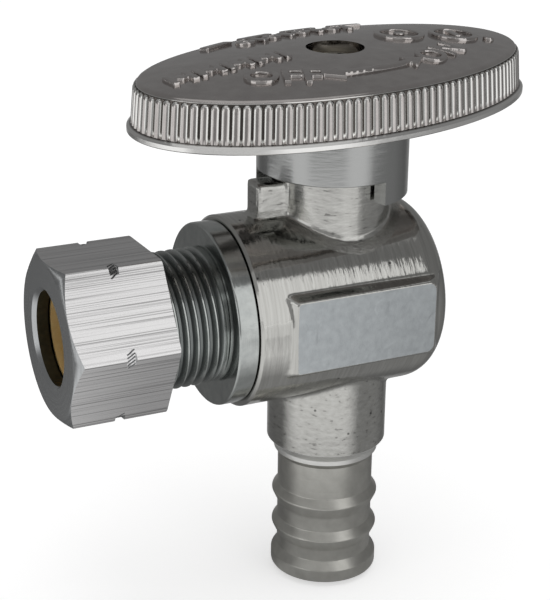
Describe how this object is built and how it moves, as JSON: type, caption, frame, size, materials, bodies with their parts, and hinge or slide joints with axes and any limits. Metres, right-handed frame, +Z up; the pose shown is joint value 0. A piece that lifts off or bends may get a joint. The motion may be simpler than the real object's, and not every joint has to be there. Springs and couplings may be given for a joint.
{
  "type": "angle stop valve",
  "caption": "Quarter-turn angle stop valve with a ribbed crimp inlet below, a compression outlet to the side and an oval fluted handle on top.",
  "frame": {"origin": "centre of the inlet barb's end face", "axes": "+Z up along the barb and the stem, -X out of the compression outlet, -Y towards the side that the picture shows"},
  "size_m": [0.0547, 0.029, 0.059],
  "materials": {
    "body_chrome": "bright chrome plating over a brass casting, with polishing streaks",
    "nut_chrome": "chrome plating over drawn hexagon bar, with fine lines along its length",
    "handle_chrome": "glossy chrome plating over a zinc die-casting",
    "brass": "machined brass",
    "ball_chrome": "polished hard chrome",
    "screw_steel": "zinc-plated steel",
    "seat_plastic": "white fluoropolymer",
    "seal_rubber": "black moulded rubber"
  },
  "bodies": {
    "valve": {"valve_body": "body_chrome", "outlet_connector": "body_chrome", "outlet_seat": "seat_plastic", "rear_seat": "seat_plastic", "connector_ring": "seal_rubber", "thrust_washer": "seat_plastic"},
    "spindle": {"handle": "handle_chrome", "handle_screw": "screw_steel", "stem": "brass", "stem_ring_lower": "seal_rubber", "stem_ring_upper": "seal_rubber", "ball": "ball_chrome"},
    "ferrule_carrier": {"ferrule": "brass"},
    "nut": {"compression_nut": "nut_chrome"}
  },
  "joints": [
    {"name": "handle_turn", "type": "hinge", "parent": "valve", "child": "spindle", "pos_m": [0, 0, 0.0323], "axis": [0, 0, 1], "range_deg": [-90, 0]},
    {"name": "ferrule_slide", "type": "slide", "parent": "valve", "child": "ferrule_carrier", "axis": [-1, 0, 0], "range_m": [0, 0.0053]},
    {"name": "nut_turn", "type": "hinge", "parent": "ferrule_carrier", "child": "nut", "pos_m": [-0.026, 0, 0.0323], "axis": [-1, 0, 0], "range_deg": [0, 1800]}
  ],
  "couplings": [
    {"joint": "ferrule_slide", "follows": "nut_turn", "m_per_rad": 0.00016839}
  ]
}
